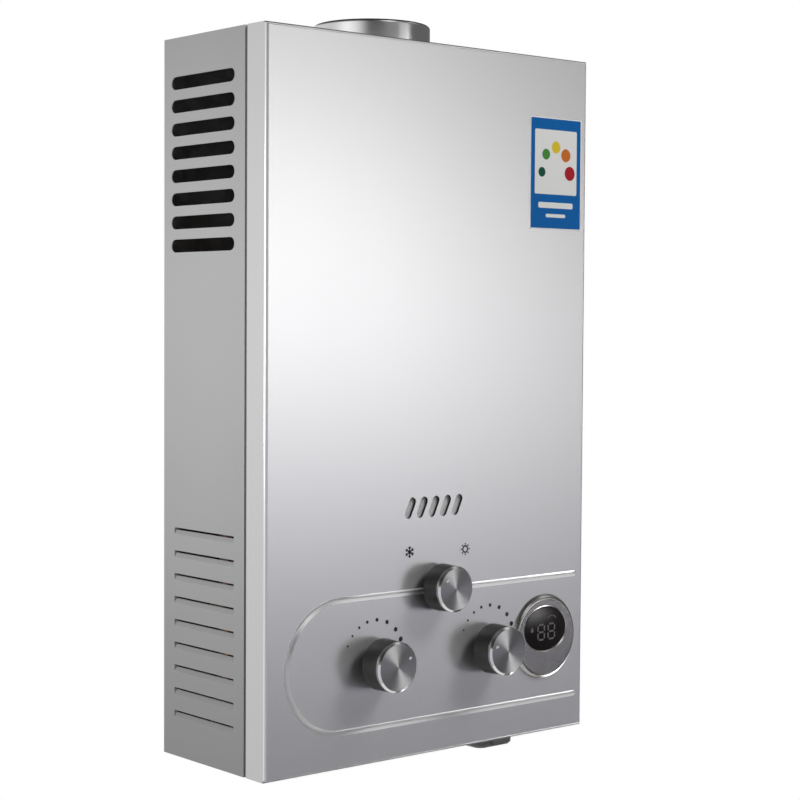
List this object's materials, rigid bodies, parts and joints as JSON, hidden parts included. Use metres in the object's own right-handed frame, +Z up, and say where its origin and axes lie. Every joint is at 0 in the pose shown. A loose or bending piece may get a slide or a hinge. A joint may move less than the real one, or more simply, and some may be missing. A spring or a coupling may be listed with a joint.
{
  "type": "gas water heater",
  "caption": "Wall-hung instantaneous gas water heater: brushed steel front, slotted sides, flue collar on top, turning knobs, round display, battery box and linked water and gas valves.",
  "frame": {"origin": "middle of the casing's back face, which is the middle of the four wall holes", "axes": "+X to the right seen from the front, the front faces -Y, the wall is the plane y = 0, +Z up"},
  "size_m": [0.35, 0.171, 0.6296],
  "materials": {
    "cover_steel": "brushed, satin",
    "casing_paint": "smooth silver grey paint",
    "galvanised": "bare zinc coat",
    "flue_steel": "spun, polished rim",
    "inner_steel": "mill finish",
    "knob_shell": "gunmetal, satin",
    "knob_face": "spun",
    "spindle_steel": "turned",
    "bezel_plastic": "silver grey, satin",
    "lens_plastic": "dark, glossy",
    "board": "circuit board",
    "copper": "copper, drawn",
    "brass": "machined",
    "die_cast": "die cast",
    "black_plastic": "fine grain",
    "cream_plastic": "moulded",
    "ceramic": "glazed white",
    "rubber": "moulded",
    "cell_jacket": "plain jacket",
    "contact_metal": "nickel plate",
    "screw_metal": "zinc plate"
  },
  "bodies": {
    "casing": {"front_cover": "cover_steel", "left_side_panel": "casing_paint", "right_side_panel": "casing_paint", "top_panel": "casing_paint", "bottom_panel": "casing_paint", "back_panel": "galvanised", "cover_screws": "screw_metal", "sight_screen": "inner_steel", "flue_collar": "flue_steel", "flue_hood": "inner_steel", "exchanger_shell": "copper", "exchanger_fins": "copper", "exchanger_tube": "copper", "exchanger_brackets": "galvanised", "combustion_chamber": "copper", "electrode_insulators": "ceramic", "electrode_wires": "spindle_steel", "burner_tray": "inner_steel", "burner_bars": "inner_steel", "gas_manifold": "die_cast", "gas_injectors": "brass", "gas_valve_body": "die_cast", "gas_solenoid": "black_plastic", "gas_riser": "inner_steel", "season_valve": "die_cast", "water_valve_body": "brass", "diaphragm": "rubber", "water_valve_cover": "brass", "micro_switch": "black_plastic", "cold_riser": "copper", "hot_pipe": "copper", "pipe_unions": "brass", "outlet_sensor": "cream_plastic", "overheat_switch": "cream_plastic", "igniter_box": "black_plastic", "display_bezel": "bezel_plastic", "display_lens": "lens_plastic", "display_board": "board", "battery_box": "black_plastic", "lid_pin": "spindle_steel", "battery_cells": "cell_jacket", "battery_contacts": "contact_metal"},
    "gas_control": {"gas_knob": "knob_shell", "gas_knob_cap": "knob_face", "gas_spindle": "spindle_steel"},
    "water_control": {"water_knob": "knob_shell", "water_knob_cap": "knob_face", "water_spindle": "spindle_steel"},
    "season_control": {"season_knob": "knob_shell", "season_knob_cap": "knob_face", "season_spindle": "spindle_steel"},
    "lid": {"battery_lid": "black_plastic", "lid_contact": "contact_metal"},
    "drain": {"drain_plug": "black_plastic"},
    "flow_rod": {"push_rod": "brass", "gas_poppet": "rubber"},
    "lever": {"switch_lever": "spindle_steel"}
  },
  "joints": [
    {"name": "gas_knob_turn", "type": "hinge", "parent": "casing", "child": "gas_control", "pos_m": [-0.0634, -0.15, -0.2124], "axis": [0, -1, 0], "range_deg": [0, 131]},
    {"name": "water_knob_turn", "type": "hinge", "parent": "casing", "child": "water_control", "pos_m": [0.0581, -0.15, -0.2124], "axis": [0, -1, 0], "range_deg": [-137, 0]},
    {"name": "season_knob_turn", "type": "hinge", "parent": "casing", "child": "season_control", "pos_m": [0.0015, -0.15, -0.1553], "axis": [0, -1, 0], "range_deg": [-106, 0]},
    {"name": "battery_lid_swing", "type": "hinge", "parent": "casing", "child": "lid", "pos_m": [0.1045, -0.0294, -0.3088], "axis": [1, 0, 0], "range_deg": [0, 95]},
    {"name": "drain_plug_turn", "type": "hinge", "parent": "casing", "child": "drain", "pos_m": [0.0581, -0.027, -0.292], "axis": [0, 0, 1], "range_deg": [0, 360]},
    {"name": "push_rod_slide", "type": "slide", "parent": "casing", "child": "flow_rod", "axis": [-1, 0, 0], "range_m": [0, 0.004], "stiffness_N_per_m": 1500},
    {"name": "switch_lever_swing", "type": "hinge", "parent": "casing", "child": "lever", "pos_m": [-0.004, -0.085, -0.1934], "axis": [0, 1, 0], "range_deg": [0, 20]}
  ],
  "couplings": [
    {"joint": "switch_lever_swing", "follows": "push_rod_slide", "rad_per_m": 78}
  ]
}
